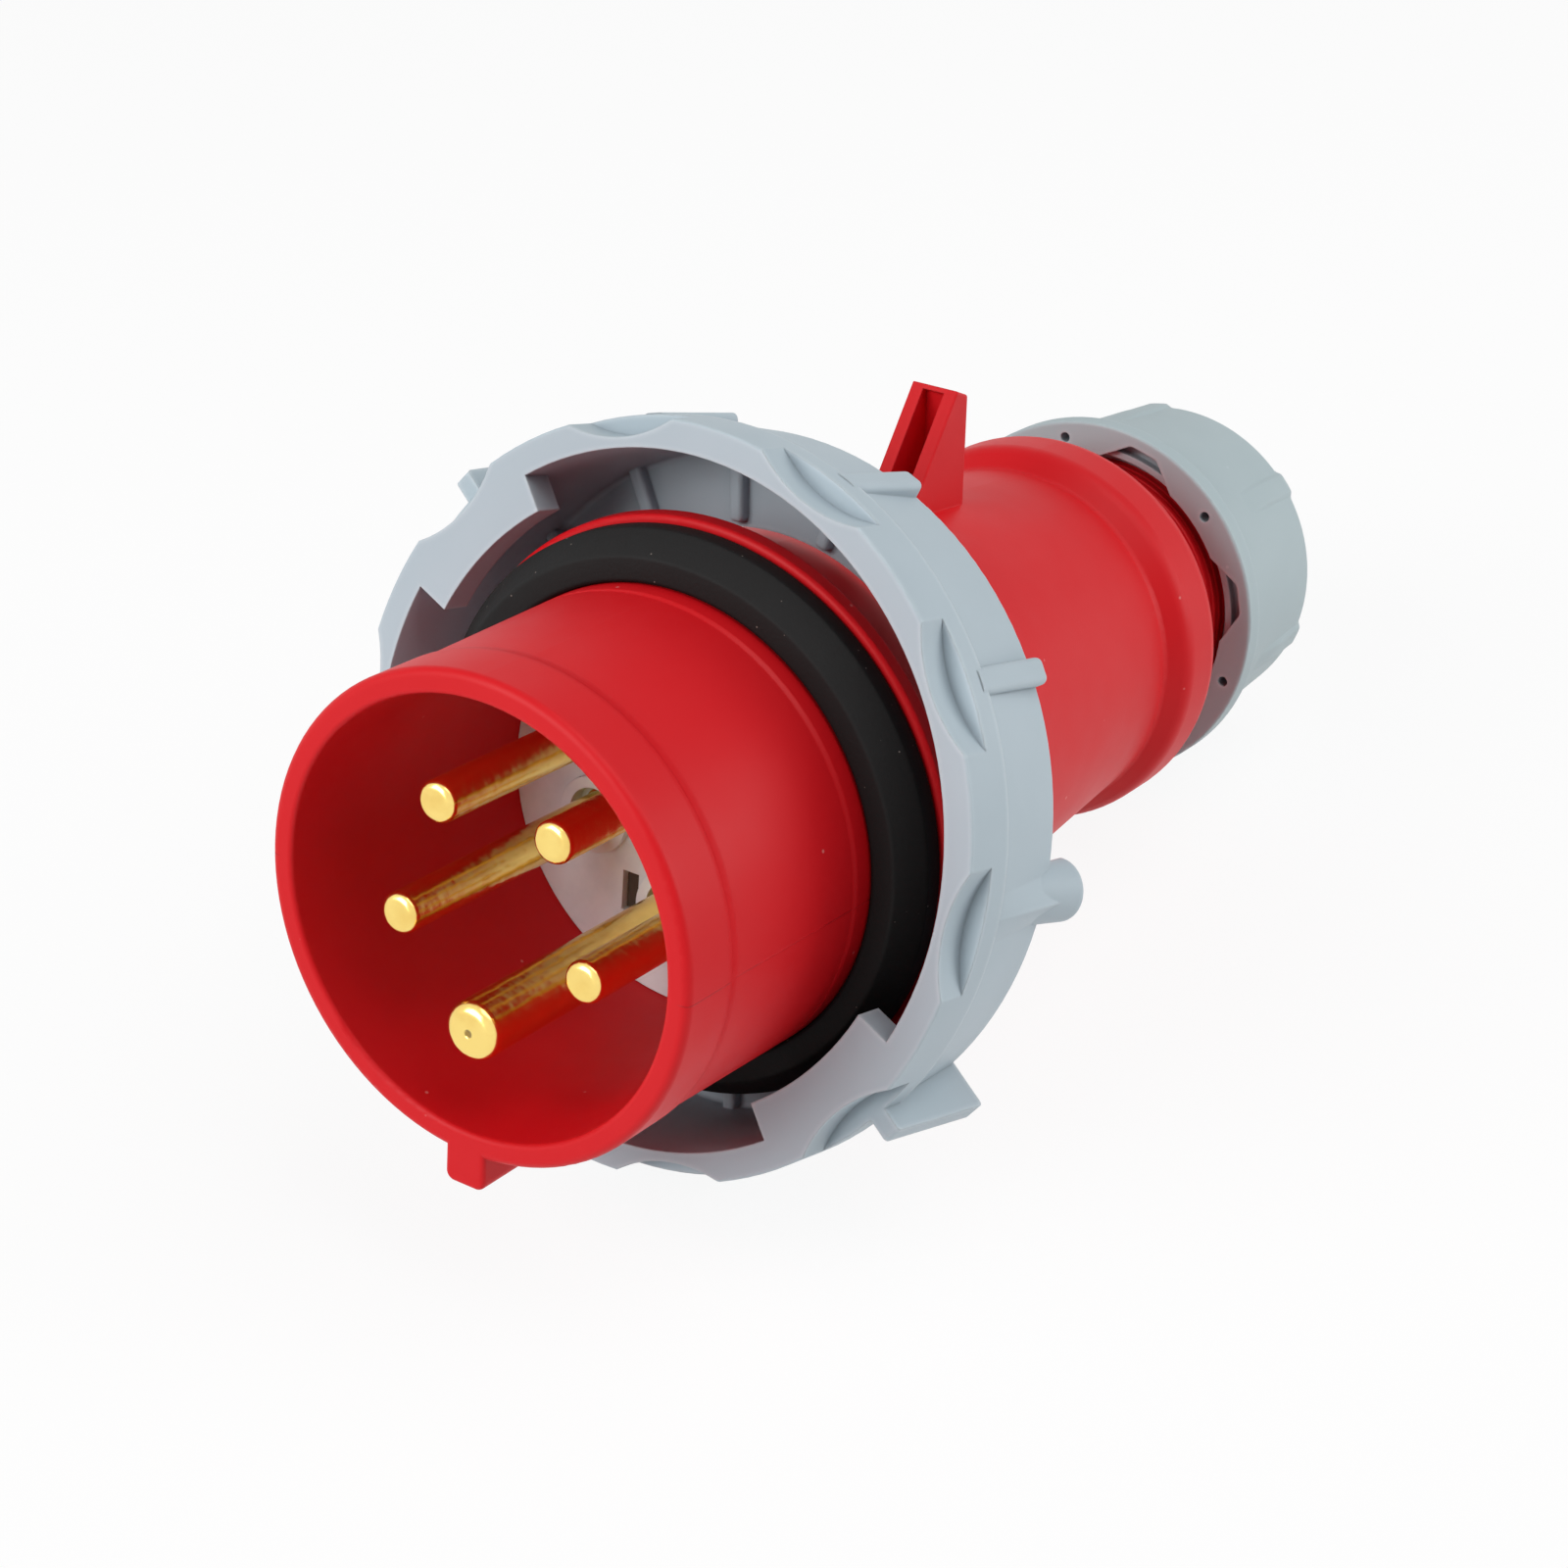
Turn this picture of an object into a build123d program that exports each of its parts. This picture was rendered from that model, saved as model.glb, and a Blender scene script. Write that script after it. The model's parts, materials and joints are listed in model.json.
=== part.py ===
from build123d import *
import os
from math import atan2, cos, degrees, radians, sin

# Five-pin, watertight industrial plug: a red collar round five pins, a loose locking
# ring, a tapered red housing and a cable gland. It lies on its locking ring and its
# gland nut, as it does on a table. All sizes are in millimetres.
#
# Every piece is drawn on the plug's own axis first. A station is the distance back
# from the collar's front rim, along that axis, which is +X there. A clock angle is
# measured round the axis from straight up, towards -Y.

# Collar and its flange
rim_radius = 28.4
rim_band = 8.0
rim_step = 0.3
rim_round = 1.0
collar_base_radius = 28.7
mouth_radius = 25.5
insert_seat_radius = 25.0
flange_station = 40.0
flange_rim = 0.8
flange_thickness = 2.4
key_width = 5.4
key_height = 4.0
key_gap = 0.8
spigot_radius = 27.5
spigot_end = 56.0
seal_groove_station = 47.0
seal_groove_width = 2.2

# Contact insert and the plate behind it
insert_face = 39.7
insert_face_thickness = 2.8
insert_body_radius = 23.8
insert_fit = 0.2
retainer_thickness = 3.8
boss_height = 0.9
boss_wall = 2.3
boss_recess = 0.9
boss_recess_depth = 2.2

# Pins
pin_circle = 13.3
pin_pitch = 72.0
earth_clock = 180.0
phase_pin_radius = 2.5
phase_tip = 2.9
earth_pin_radius = 3.5
earth_tip = 0.0
tip_round_share = 0.4
pin_fit = 0.05
pin_seat_step = 0.25
shoulder_front = 50.0
shoulder_step = 0.5
terminal_wall = 1.3
terminal_end = 74.0
wire_hole_depth = 13.0
wire_hole_step = 0.3
terminal_screw_station = 68.0
terminal_screw_radius = 1.9
terminal_screw_tip = 0.7
terminal_screw_head = 2.8
terminal_screw_head_height = 1.6

# Small screw and latch slide in the insert
retainer_screw_radius = 1.5
retainer_screw_length = 12.0
retainer_screw_head = 2.9
retainer_screw_head_height = 2.0
latch_clock = 209.5
latch_circle = 14.8
latch_width = 2.3
latch_height = 5.2
latch_play = 0.15
latch_foot = 5.0

# Face gasket and the ring seal between the shells
gasket_front = 34.0
gasket_reach = 5.8
gasket_bevel_reach = 2.6
gasket_bevel = 3.2
gasket_fit = 0.1
seal_thickness = 1.5
seal_play = 0.1

# Rear housing
housing_front_radius = 30.2
housing_wall = 2.4
barrel_end = 115.0
barrel_end_radius = 23.8
bulge_station = 121.5
bulge_radius = 26.25
bulge_edge = 3.6
bulge_round = 3.2
bulge_tail = 132.0
neck_radius = 19.7
neck_end = 148.0
neck_wall = 3.7
seal_seat_station = 134.0
lug_front = 79.5
lug_rear = 93.2
lug_top = 41.0
lug_top_front = 89.4
lug_top_rear = 91.8
lug_width = 6.6
lug_groove = 3.0
lug_web = 1.8

# Locking ring, in its own stations from its front face
ring_width = 21.0
ring_play = 4.3
ring_mouth_flare = 1.1
ring_wall = 4.1
ring_flange_rise = 0.55
ring_flange_width = 7.5
ring_band_draft = 1.6
ring_web_play = 0.5
ring_web_thickness = 2.4
ring_places = 10
ring_clock = 345.0
scallop_chord = 15.1
scallop_depth = 1.7
scallop_length = 4.2
ribs_in_row = 3
rib_width = 3.2
rib_rise = 0.7
rib_tail_rise = 1.8
peg_clocks = (92.0, 272.0)
peg_radius = 3.7
peg_round = 1.3
peg_outset = 2.1
peg_overhang = 5.0
peg_length = 13.0
peg_tilt = 14.0
ridge_width = 5.8
ridge_rise = 0.3
ridge_tail_rise = 2.2
wing_clocks = (127.0, 309.0)
wing_front_rise = 3.5
wing_rear_rise = 4.4
wing_thickness = 2.4
tab_play = 0.9
tab_length = 4.0
tab_clocks = (129.0, 309.0)
tab_half_angle = 15.3
gusset_count = 16
gusset_clock = 12.5
gusset_width = 1.8
gusset_height = 1.6
ring_pivot_station = 50.0
ring_front_to_pivot = 17.96
ring_lean_back = 9.5
ring_lean_side = 3.0

# Gland nut
nut_front = 137.2
nut_length = 26.7
nut_flange_rise = 1.85
nut_flange_width = 3.2
nut_wall = 3.8
nut_barrel_draft = 1.5
nut_mouth_play = 1.5
nut_notches = 6
nut_notch_clock = 15.6
nut_notch_reach = 2.8
nut_notch_depth = 2.6
nut_ledge_reach = 0.9
nut_ledge_step = 1.2
nut_pip_depth = 2.2
nut_notch_inner_angle = 41.0
nut_notch_outer_angle = 10.0
nut_pip_radius = 0.7
nut_pip_reach = 2.1
nut_ribs = 6
nut_rib_clock = 48.0
nut_rib_length = 11.2
nut_rib_width = 2.6
nut_rib_height = 0.45
nut_rear_wall = 3.5
nut_opening_radius = 12.5
nut_cone_length = 5.9
nut_cone_play = 1.9
thread_clearance = 0.2

# Gland seal, clamping cage and slip washer
seal_fit = 0.2
seal_opening_radius = 8.5
seal_overhang = 1.0
cage_base_inset = 1.3
cage_base_thickness = 1.2
cage_base_step = 3.8
cage_finger_taper = 2.0
cage_wall = 2.0
cage_length = 6.1
cage_slits = 12
cage_slit_width = 1.2
washer_play = 0.6
washer_inset = 1.1
washer_thickness = 1.8
washer_gap = 0.3

# How the plug lies: it rolls a little, until the ring's rear edge stands between two ribs
rest_roll = 3.0

# Small roundings
fine_round = 0.3
edge_round = 0.6
soft_round = 1.2

# How far a piece runs into what it joins, and a cutter past what it cuts
overrun = 1.0

# Values that follow from the ones above
flange_back = flange_station + flange_thickness
insert_shoulder = insert_face + insert_face_thickness
spigot_bore = insert_body_radius + insert_fit
retainer_back = spigot_end + retainer_thickness
housing_bore = spigot_radius + insert_fit
seal_groove_radius = housing_bore - seal_thickness - 2 * seal_play
pin_seat_front = insert_face - boss_height + boss_recess_depth
barrel_slope = (housing_front_radius - barrel_end_radius) / (barrel_end - flange_back)
nut_rear = nut_front + nut_length
nut_rear_inside = nut_rear - nut_rear_wall
ring_web_station = ring_width - ring_web_thickness
gasket_radius = collar_base_radius + gasket_reach
gasket_flat_radius = gasket_radius - gasket_bevel_reach
flange_radius = gasket_radius + flange_rim
ring_cavity_radius = flange_radius + ring_play
ring_mouth_radius = ring_cavity_radius + ring_mouth_flare
ring_web_radius = housing_front_radius + ring_web_play
ring_band_radius = ring_cavity_radius + ring_wall
ring_flange_radius = ring_band_radius + ring_flange_rise
ring_tail_radius = ring_band_radius - ring_band_draft
peg_circle = ring_cavity_radius + peg_outset
wing_front_radius = ring_band_radius + wing_front_rise
wing_rear_radius = ring_band_radius + wing_rear_rise
tab_radius = flange_radius + tab_play
nut_mouth_radius = neck_radius + nut_mouth_play
nut_barrel_radius = neck_radius + thread_clearance + nut_wall
nut_flange_radius = nut_barrel_radius + nut_flange_rise
nut_tail_radius = nut_barrel_radius - nut_barrel_draft
nut_notch_radius = nut_mouth_radius + nut_notch_reach
nut_ledge_radius = nut_mouth_radius + nut_ledge_reach
nut_pip_circle = nut_mouth_radius + nut_pip_reach
cage_base_radius = neck_radius - cage_base_inset
cage_root_radius = cage_base_radius - cage_base_step
cage_tip_radius = cage_root_radius - cage_finger_taper
washer_outer_radius = cage_base_radius - washer_inset
washer_inner_radius = cage_root_radius + washer_play
nut_cone_end_radius = cage_tip_radius + nut_cone_play
cage_front = neck_end + seal_overhang + insert_fit
ring_wall_middle = (ring_cavity_radius + ring_tail_radius) / 2
place_pitch = 360.0 / ring_places


def barrel_radius(station):
    """Outside radius of the tapered housing at a station."""
    return housing_front_radius - barrel_slope * (station - flange_back)


def turned(points, roundings=None):
    """Turn a closed outline of (station, radius) points round the axis."""
    radii = [0.0] * len(points)
    for corner, radius in (roundings or {}).items():
        radii[corner] = radius
    wire = FilletPolyline(*points, radius=radii, close=True)
    face = make_face(Plane.XZ * wire)
    return revolve(face, axis=Axis.X)


def tube(front, rear, outer, inner):
    """A plain tube between two stations."""
    return turned([(front, inner), (front, outer), (rear, outer), (rear, inner)])


def rod(front, rear, radius):
    """A plain round bar between two stations."""
    middle = Location(((front + rear) / 2, 0, 0), (0, 90, 0))
    return middle * Cylinder(radius, rear - front)


def clocked(shape, clock):
    """Turn a shape that was drawn straight above the axis to its clock angle."""
    return Rotation(clock, 0, 0) * shape


def block(front, rear, width, low, high):
    """A block above the axis, from one radius to another."""
    size = Box(rear - front, width, high - low)
    return Location(((front + rear) / 2, 0, (low + high) / 2)) * size


def radial_bar(station, radius, low, high):
    """A round bar that stands on the axis like a spoke, from one radius to another."""
    return Location((station, 0, (low + high) / 2)) * Cylinder(radius, high - low)


def pin_places():
    """Clock angle of each pin, by its name."""
    names = ["earth_pin", "phase_pin_1", "phase_pin_2", "phase_pin_3", "neutral_pin"]
    return {name: earth_clock + pin_pitch * i for i, name in enumerate(names)}


def pin_size(name):
    """Radius and tip station of a pin."""
    if name == "earth_pin":
        return earth_pin_radius, earth_tip
    return phase_pin_radius, phase_tip


def on_pin_circle(shape, clock):
    """Move a shape from the axis to the pin circle, at a clock angle."""
    return clocked(Location((0, 0, pin_circle)) * shape, clock)


def make_collar():
    """Red collar, key, flange and the spigot that the housing slides over."""
    groove_rear = seal_groove_station + seal_groove_width
    points = [
        (0, mouth_radius),
        (0, rim_radius),
        (rim_band, rim_radius),
        (rim_band + rim_step, rim_radius - rim_step),
        (gasket_front, collar_base_radius),
        (flange_station, collar_base_radius),
        (flange_station, flange_radius),
        (flange_back, flange_radius),
        (flange_back, spigot_radius),
        (seal_groove_station, spigot_radius),
        (seal_groove_station, seal_groove_radius),
        (groove_rear, seal_groove_radius),
        (groove_rear, spigot_radius),
        (spigot_end, spigot_radius),
        (spigot_end, spigot_bore),
        (insert_shoulder, spigot_bore),
        (insert_shoulder, insert_seat_radius),
        (insert_face, insert_seat_radius),
    ]
    shell = turned(points, {0: edge_round, 1: rim_round, 6: edge_round})
    key_top = rim_radius + key_height
    key = block(0, gasket_front - key_gap, key_width, mouth_radius + overrun, key_top)
    long_edges = key.edges().filter_by(Axis.X).sort_by(Axis.Z)[-2:]
    key = fillet(long_edges, soft_round)
    front_edges = key.edges().group_by(Axis.X)[0].sort_by(Axis.Z)[-3:]
    key = fillet(front_edges, edge_round)
    hollow = rod(0, insert_face, mouth_radius + overrun)
    return shell + clocked(key - hollow, earth_clock)


def make_insert():
    """Off-white moulding that holds the pins, with a boss round each pin."""
    points = [
        (insert_face, 0),
        (insert_face, insert_seat_radius - insert_fit / 2),
        (insert_shoulder, insert_seat_radius - insert_fit / 2),
        (insert_shoulder, insert_body_radius),
        (spigot_end, insert_body_radius),
        (spigot_end, 0),
    ]
    body = turned(points)
    for name, clock in pin_places().items():
        radius, _ = pin_size(name)
        boss = rod(insert_face - boss_height, insert_shoulder, radius + boss_wall)
        body += on_pin_circle(boss, clock)
    for name, clock in pin_places().items():
        radius, _ = pin_size(name)
        shoulder = radius + terminal_wall + shoulder_step
        recess = rod(0, pin_seat_front, radius + boss_recess)
        bore = rod(0, spigot_end, radius + pin_seat_step + pin_fit)
        seat = rod(shoulder_front, spigot_end, shoulder + insert_fit)
        body -= on_pin_circle(recess + bore + seat, clock)
    screw_tip = retainer_back - retainer_screw_length
    body -= rod(screw_tip - overrun, spigot_end, retainer_screw_radius + pin_fit)
    return body - latch_slot()


def latch_slot():
    """The upright slot in the insert and the plate, for the latch slide."""
    low = latch_circle * cos(radians(latch_clock)) - latch_height / 2
    across = -latch_circle * sin(radians(latch_clock))
    front = insert_face - boss_height
    slot = Box(retainer_back - front + 2 * overrun, latch_width, latch_height)
    middle = (front + retainer_back) / 2
    return Location((middle, across, low + latch_height / 2)) * slot


def make_retainer():
    """Plate behind the insert that clamps it to the spigot and traps the pins."""
    outer = barrel_radius(retainer_back) - housing_wall - insert_fit
    plate = tube(spigot_end, retainer_back, outer, retainer_screw_radius + pin_fit)
    for name, clock in pin_places().items():
        radius, _ = pin_size(name)
        hole = rod(spigot_end, retainer_back, radius + terminal_wall + pin_fit)
        plate -= on_pin_circle(hole, clock)
    return plate - latch_slot()


def make_retainer_screw():
    """Pan-head screw that draws the plate and the insert together."""
    head_back = retainer_back + retainer_screw_head_height
    tip = retainer_back - retainer_screw_length
    points = [
        (tip, 0),
        (tip, retainer_screw_radius),
        (retainer_back, retainer_screw_radius),
        (retainer_back, retainer_screw_head),
        (head_back, retainer_screw_head),
        (head_back, 0),
    ]
    screw = turned(points, {4: edge_round})
    slot = Box(retainer_screw_head_height, 2 * retainer_screw_head, edge_round)
    return screw - Location((head_back, 0, 0)) * slot


def make_latch():
    """Slide behind the slot in the insert, with a foot that locks the housing."""
    front = insert_face + boss_height
    foot_front = retainer_back + latch_play
    foot_back = foot_front + latch_width
    width = latch_width - 2 * latch_play
    height = latch_height - 2 * latch_play
    across = -latch_circle * sin(radians(latch_clock))
    up = latch_circle * cos(radians(latch_clock))
    bar = Location(((front + foot_back) / 2, across, up)) * Box(foot_back - front, width, height)
    foot = Box(latch_width, width, height + latch_foot)
    foot_middle = (foot_front + foot_back) / 2
    return bar + Location((foot_middle, across, up - latch_foot / 2)) * foot


def make_pin(name, clock):
    """Turned brass pin with a domed tip, a trapped shoulder and a screw terminal."""
    radius, tip = pin_size(name)
    terminal = radius + terminal_wall
    shoulder = terminal + shoulder_step
    seat = radius + pin_seat_step
    points = [
        (tip, 0),
        (tip, radius),
        (pin_seat_front, radius),
        (pin_seat_front, seat),
        (shoulder_front, seat),
        (shoulder_front, shoulder),
        (spigot_end, shoulder),
        (spigot_end, terminal),
        (terminal_end, terminal),
        (terminal_end, 0),
    ]
    pin = turned(points, {1: radius * tip_round_share, 8: fine_round})
    wire_hole = rod(terminal_end - wire_hole_depth, terminal_end, radius - wire_hole_step)
    hole_radius = terminal_screw_radius + pin_fit
    screw_hole = radial_bar(terminal_screw_station, hole_radius, 0, terminal + overrun)
    return on_pin_circle(pin - wire_hole - screw_hole, clock)


def make_terminal_screw(name, clock):
    """Slotted clamping screw, which stands out from a terminal like a spoke."""
    radius, _ = pin_size(name)
    seat = radius + terminal_wall
    top = seat + terminal_screw_head_height
    shank = radial_bar(terminal_screw_station, terminal_screw_radius, terminal_screw_tip, seat)
    head = radial_bar(terminal_screw_station, terminal_screw_head, seat, top)
    slot = Box(edge_round, 2 * terminal_screw_head, terminal_screw_head_height)
    screw = shank + head - Location((terminal_screw_station, 0, top)) * slot
    return on_pin_circle(screw, clock)


def make_gasket():
    """Rubber gasket in front of the flange, bevelled towards its outer edge."""
    inner = collar_base_radius + gasket_fit
    points = [
        (gasket_front, inner),
        (gasket_front, gasket_flat_radius),
        (gasket_front + gasket_bevel, gasket_radius),
        (flange_station, gasket_radius),
        (flange_station, inner),
    ]
    return turned(points, {1: edge_round, 2: edge_round})


def make_housing_seal():
    """Flat rubber ring in the groove of the spigot."""
    front = seal_groove_station + seal_play
    rear = seal_groove_station + seal_groove_width - seal_play
    return tube(front, rear, housing_bore - seal_play, seal_groove_radius + seal_play)


def lug_profile():
    """Side view of the lug: upright at the back and sloping at the front."""
    sunk = housing_wall / 2
    points = [
        (lug_front, barrel_radius(lug_front) - sunk),
        (lug_top_front, lug_top),
        (lug_top_rear, lug_top - lug_web / 2),
        (lug_rear, barrel_radius(lug_rear) - sunk),
    ]
    return make_face(Plane.XZ * Polyline(*points, close=True))


def make_lug():
    """Lug on top of the housing: two cheeks and a back wall round a groove."""
    solid = extrude(lug_profile(), lug_width / 2, both=True)
    upright = solid.edges().filter_by(Axis.Y, reverse=True)
    solid = fillet(upright.sort_by(Axis.Z)[-4:], fine_round)
    base = barrel_radius(lug_rear)
    groove = block(lug_front - overrun, lug_rear, lug_groove, base, lug_top + overrun)
    back_wall = extrude(Pos(X=-lug_web) * lug_profile(), lug_groove, both=True)
    groove_shape = groove & back_wall
    return solid - groove_shape


def make_housing():
    """Red rear housing: tapered barrel, lug, rounded bulge and threaded neck."""
    step = spigot_end + insert_fit
    points = [
        (flange_back, housing_bore),
        (flange_back, housing_front_radius),
        (barrel_end, barrel_end_radius),
        (bulge_station - bulge_edge, bulge_radius),
        (bulge_station + bulge_edge, bulge_radius),
        (bulge_tail, neck_radius),
        (neck_end, neck_radius),
        (neck_end, neck_radius - neck_wall),
        (seal_seat_station, neck_radius - neck_wall),
        (seal_seat_station, neck_radius - 2 * neck_wall + seal_fit),
        (bulge_station, neck_radius - 2 * neck_wall + seal_fit),
        (barrel_end, barrel_end_radius - housing_wall),
        (step, barrel_radius(step) - housing_wall),
        (step, housing_bore),
    ]
    roundings = {1: edge_round, 2: soft_round, 3: bulge_round, 4: bulge_round, 6: edge_round}
    return turned(points, roundings) + make_lug()


def make_ring_blank():
    """The locking ring before its scallops, ribs, pegs, wings and tabs."""
    points = [
        (0, ring_mouth_radius),
        (0, ring_flange_radius),
        (ring_flange_width, ring_flange_radius),
        (ring_flange_width, ring_band_radius),
        (ring_width, ring_tail_radius),
        (ring_width, ring_web_radius),
        (ring_web_station, ring_web_radius),
        (ring_web_station, ring_cavity_radius),
    ]
    return turned(points, {1: fine_round, 4: edge_round, 5: fine_round, 7: edge_round})


def make_scallop():
    """Round bite out of the front edge of the ring's flange."""
    bite_radius = scallop_chord ** 2 / (8 * scallop_depth) + scallop_depth / 2
    chord_height = (ring_flange_radius ** 2 - (scallop_chord / 2) ** 2) ** 0.5
    centre = chord_height - scallop_depth + bite_radius
    return Location((0, 0, centre)) * rod(-overrun, scallop_length, bite_radius)


def make_ring_rib():
    """Low rib on the ring's rear band, from the flange to the rear edge."""
    front = ring_flange_width - overrun
    points = [
        (front, ring_wall_middle),
        (front, ring_band_radius + rib_rise),
        (ring_width, ring_tail_radius + rib_tail_rise),
        (ring_width, ring_wall_middle),
    ]
    outline = FilletPolyline(*points, radius=[0, 0, edge_round, 0], close=True)
    rib = extrude(make_face(Plane.XZ * outline), rib_width / 2, both=True)
    straight = rib.edges().filter_by(GeomType.LINE).filter_by(Axis.Y, reverse=True)
    crown = straight.sort_by(Axis.Z)[-2:]
    return fillet(crown, rib_width / 4)


def ridge_face(station, crest):
    """Roof-shaped section of the low ridge in front of a peg, at one station."""
    share = (station - ring_flange_width) / (ring_width - ring_flange_width)
    band = ring_band_radius + share * (ring_tail_radius - ring_band_radius)
    half = ridge_width / 2
    eaves = (band ** 2 - half ** 2) ** 0.5
    points = [
        (-half, ring_wall_middle),
        (-half, eaves),
        (0, band + crest),
        (half, eaves),
        (half, ring_wall_middle),
    ]
    return Location((station, 0, 0)) * make_face(Plane.YZ * Polyline(*points, close=True))


def make_ring_peg():
    """Grip peg that rises out of the band and overhangs the rear edge, with its ridge."""
    ends = [ridge_face(ring_flange_width, ridge_rise), ridge_face(ring_width, ridge_tail_rise)]
    ridge = loft(ends, ruled=True)
    bar = rod(-peg_length, 0, peg_radius)
    bar = fillet(bar.edges().sort_by(Axis.X)[-1], peg_round)
    rear = ring_width + peg_overhang
    peg = Location((rear, 0, peg_circle), (0, -peg_tilt, 0)) * bar
    top = peg_circle + 2 * peg_radius
    keep = block(ring_flange_width, rear + overrun, 2 * peg_radius, ring_wall_middle, top)
    return (peg & keep) + ridge


def make_ring_wing():
    """Thin upright wing along the ring, for turning it by hand."""
    base = ring_wall_middle
    points = [
        (scallop_length, base),
        (scallop_length, wing_front_radius),
        (ring_width, wing_rear_radius),
        (ring_width, base),
    ]
    outline = FilletPolyline(*points, radius=[0, edge_round, edge_round, 0], close=True)
    return extrude(make_face(Plane.XZ * outline), wing_thickness / 2, both=True)


def make_ring_tab():
    """Bayonet tab that stands in from the ring's mouth, over an arc."""
    sweep = 2 * tab_half_angle
    points = [
        (0, tab_radius),
        (0, ring_mouth_radius + overrun),
        (tab_length, ring_mouth_radius + overrun),
        (tab_length, tab_radius),
    ]
    face = make_face(Plane.XZ * Polyline(*points, close=True))
    return clocked(revolve(face, axis=Axis.X, revolution_arc=sweep), -tab_half_angle)


def make_ring_gusset():
    """Rib on the front of the ring's web, from its inner edge out to its wall."""
    front = ring_web_station - gusset_height
    low = ring_web_radius + edge_round
    gusset = block(front, ring_width - overrun, gusset_width, low, ring_wall_middle)
    crown = gusset.edges().filter_by(Axis.Z).sort_by(Axis.X)[:2]
    gusset = fillet(crown, gusset_width / 3)
    foot = gusset.edges().group_by(Axis.Z)[0].sort_by(Axis.X)[0]
    return fillet(foot, edge_round)


def make_ring():
    """Grey locking ring with all its features, in its own stations."""
    ring = make_ring_blank()
    rib = make_ring_rib()
    half = ring_places // 2
    for place in range(ring_places):
        if place % half < ribs_in_row:
            ring += clocked(rib, ring_clock + place_pitch * place)
    for clock in peg_clocks:
        ring += clocked(make_ring_peg(), clock)
    for clock in wing_clocks:
        ring += clocked(make_ring_wing(), clock)
    for clock in tab_clocks:
        ring += clocked(make_ring_tab(), clock)
    gusset = make_ring_gusset()
    for i in range(gusset_count):
        ring += clocked(gusset, gusset_clock + 360.0 / gusset_count * i)
    scallop = make_scallop()
    for place in range(ring_places):
        ring -= clocked(scallop, ring_clock + place_pitch * place)
    return ring


def ring_place():
    """Where the loose ring lies: leaning back and a little to one side."""
    lean = Rotation(0, ring_lean_back, 0) * Rotation(0, 0, -ring_lean_side)
    return Location((ring_pivot_station, 0, 0)) * lean * Location((-ring_front_to_pivot, 0, 0))


def make_nut_blank():
    """The gland nut before its notches, holes and ribs."""
    flange_rear = nut_front + nut_flange_width
    cone_front = nut_rear_inside - nut_cone_length
    bore = neck_radius + thread_clearance
    points = [
        (nut_front, nut_mouth_radius),
        (nut_front, nut_flange_radius),
        (flange_rear, nut_flange_radius),
        (flange_rear, nut_barrel_radius),
        (nut_rear, nut_tail_radius),
        (nut_rear, nut_opening_radius),
        (nut_rear_inside, nut_opening_radius),
        (nut_rear_inside, nut_cone_end_radius),
        (cone_front, bore),
        (flange_rear + edge_round, bore),
        (flange_rear, nut_mouth_radius),
    ]
    return turned(points, {1: fine_round, 2: fine_round, 4: soft_round, 5: edge_round})


def make_nut_notch():
    """Notch in the nut's front face, narrower towards its outer edge, with a ledge inside."""
    inner = radians(nut_notch_inner_angle / 2)
    outer = radians(nut_notch_outer_angle / 2)
    low = nut_mouth_radius - overrun
    points = [
        (-nut_mouth_radius * sin(inner), low * cos(inner)),
        (-nut_notch_radius * sin(outer), nut_notch_radius * cos(outer)),
        (nut_notch_radius * sin(outer), nut_notch_radius * cos(outer)),
        (nut_mouth_radius * sin(inner), low * cos(inner)),
    ]
    outline = FilletPolyline(*points, radius=[0, soft_round, soft_round, 0], close=True)
    cutter = extrude(make_face(Plane.YZ * outline), nut_notch_depth, both=True)
    ledge = rod(nut_front + nut_ledge_step, nut_rear, nut_ledge_radius)
    return Location((nut_front, 0, 0)) * cutter - ledge


def make_nut_rib():
    """Low grip rib along the nut's barrel, out to its rear edge."""
    front = nut_rear - nut_rib_length
    rear = nut_rear - edge_round
    low = nut_tail_radius - overrun
    points = [
        (front, low),
        (front, nut_barrel_radius - edge_round),
        (rear, nut_tail_radius + nut_rib_height),
        (rear, low),
    ]
    face = make_face(Plane.XZ * Polyline(*points, close=True))
    return extrude(face, nut_rib_width / 2, both=True)


def make_nut():
    """Grey gland nut with grip ribs, front notches and small round pips."""
    nut = make_nut_blank()
    notch = make_nut_notch()
    pip = Location((nut_front, 0, nut_pip_circle)) * rod(-overrun, nut_pip_depth, nut_pip_radius)
    for i in range(nut_notches):
        clock = nut_notch_clock + 360.0 / nut_notches * i
        nut -= clocked(notch, clock)
        nut -= clocked(pip, clock + 180.0 / nut_notches)
    rib = make_nut_rib()
    for i in range(nut_ribs):
        nut += clocked(rib, nut_rib_clock + 360.0 / nut_ribs * i)
    return nut


def make_gland_seal():
    """Rubber bush in the mouth of the neck, round the cable's place."""
    outer = neck_radius - neck_wall - seal_fit
    rear = neck_end + seal_overhang
    points = [
        (seal_seat_station, seal_opening_radius),
        (seal_seat_station, outer),
        (rear, outer),
        (rear, seal_opening_radius),
    ]
    return turned(points, {0: soft_round, 2: edge_round, 3: soft_round})


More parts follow.
